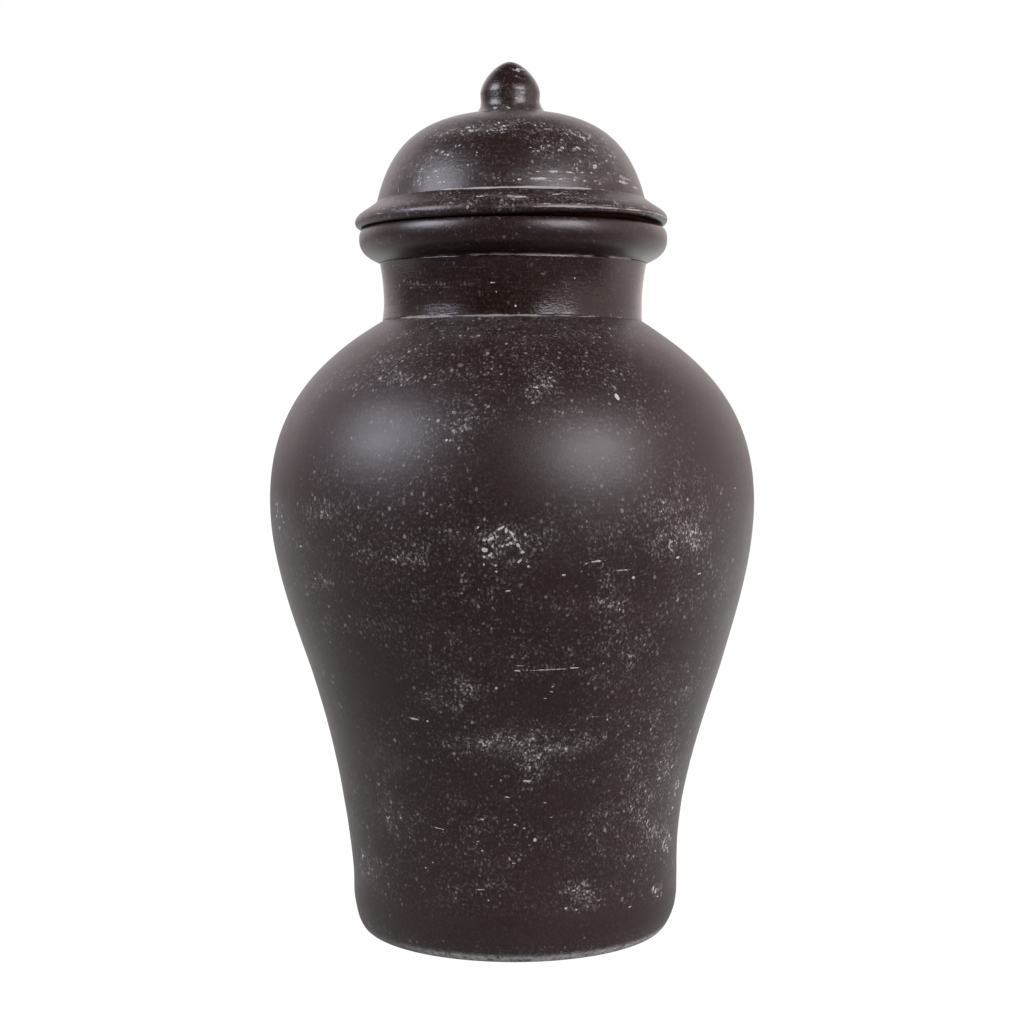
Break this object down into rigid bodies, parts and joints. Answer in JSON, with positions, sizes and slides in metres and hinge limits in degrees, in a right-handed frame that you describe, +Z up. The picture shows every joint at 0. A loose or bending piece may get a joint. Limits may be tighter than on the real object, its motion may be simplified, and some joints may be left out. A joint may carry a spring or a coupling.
{
  "type": "lidded terracotta jar",
  "caption": "Shouldered clay jar with a short neck, a rolled rim and a domed lid that lifts off by its knob.",
  "frame": {"origin": "centre of the foot, on the surface the jar stands on", "axes": "+Z up along the turning axis, -Y towards the viewer of the picture, +X to the right"},
  "size_m": [0.2688, 0.2688, 0.48],
  "materials": {
    "painted_clay": "dark brown satin paint over clay, speckled and worn pale at the edges",
    "bare_clay": "bare fired clay, matt"
  },
  "bodies": {
    "jar": {"jar_body": "painted_clay", "neck_collar": "painted_clay", "rim_ring": "painted_clay"},
    "lid": {"lid": "painted_clay", "lid_locating_collar": "bare_clay", "knob": "painted_clay"}
  },
  "joints": [
    {"name": "lid_lift", "type": "slide", "parent": "jar", "child": "lid", "axis": [0, 0, 1], "range_m": [0, 0.12]}
  ]
}
